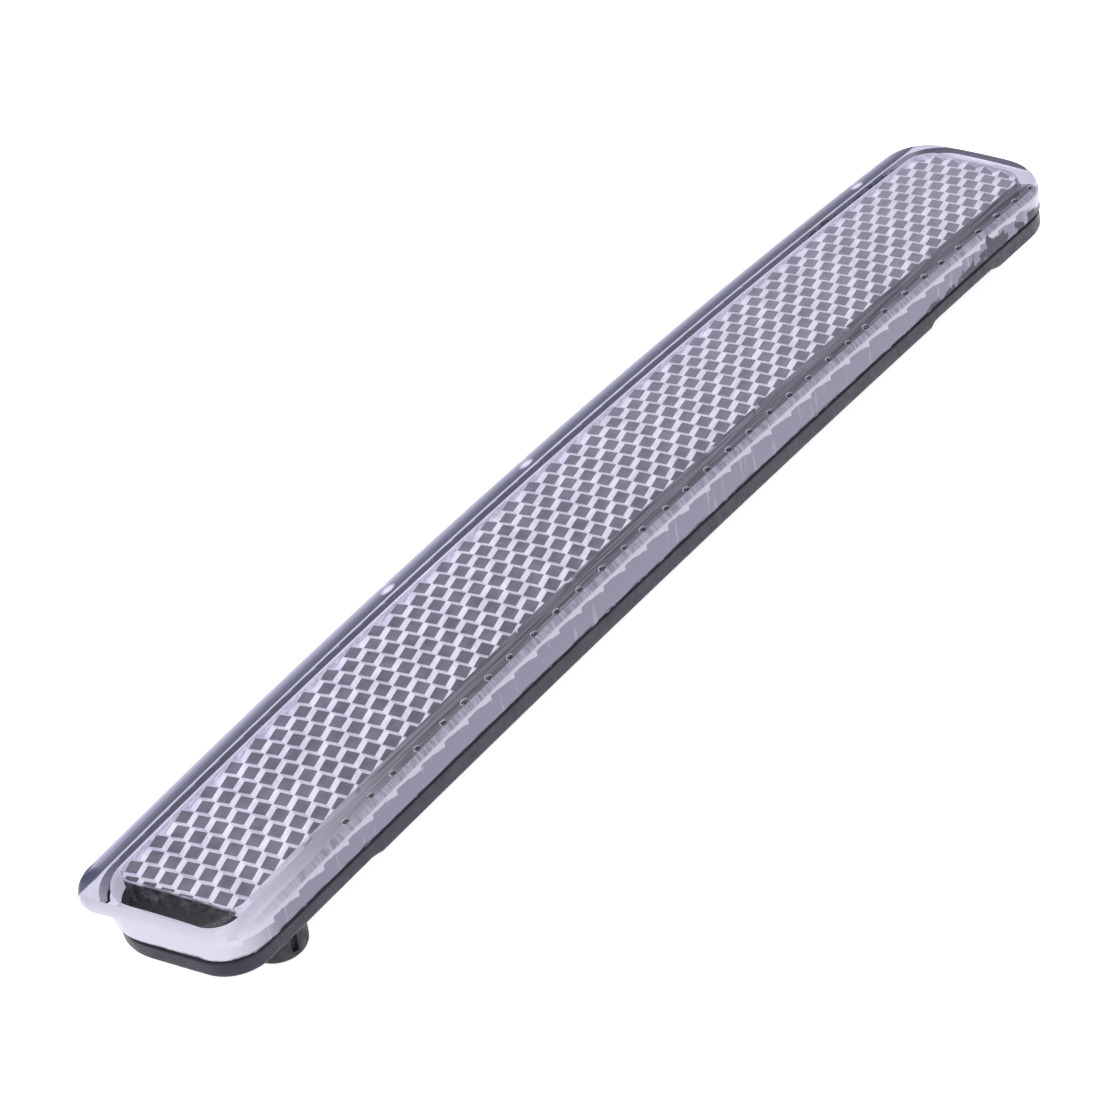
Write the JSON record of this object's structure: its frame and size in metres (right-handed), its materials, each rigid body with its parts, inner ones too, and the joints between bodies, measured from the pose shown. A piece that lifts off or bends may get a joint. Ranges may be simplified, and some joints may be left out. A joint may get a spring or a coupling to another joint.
{
  "type": "vehicle side reflector strip",
  "caption": "Long slim bowed side reflector: clear cover with an overhanging lip, corner-cube prism insert, black back housing and push-on locating studs.",
  "frame": {"origin": "on the flat seating pad at the middle of the housing's back, under the middle of the prism field", "axes": "+Z out of the cover's front face, Y along the strip, +X across it towards the plain side wall and away from the lip"},
  "size_m": [0.0218, 0.1572, 0.0133],
  "materials": {
    "clear_acrylic": "clear moulded acrylic, polished face, faint handling scratches",
    "prism_acrylic": "clear moulded acrylic cut into corner-cube prisms",
    "black_plastic": "moulded satin black",
    "black_rubber": "dull black, slightly rough"
  },
  "bodies": {
    "root": {"lens_cover": "clear_acrylic", "reflex_insert": "prism_acrylic", "back_housing": "black_plastic", "locating_stud_near": "black_rubber", "locating_stud_far": "black_rubber"}
  },
  "joints": []
}
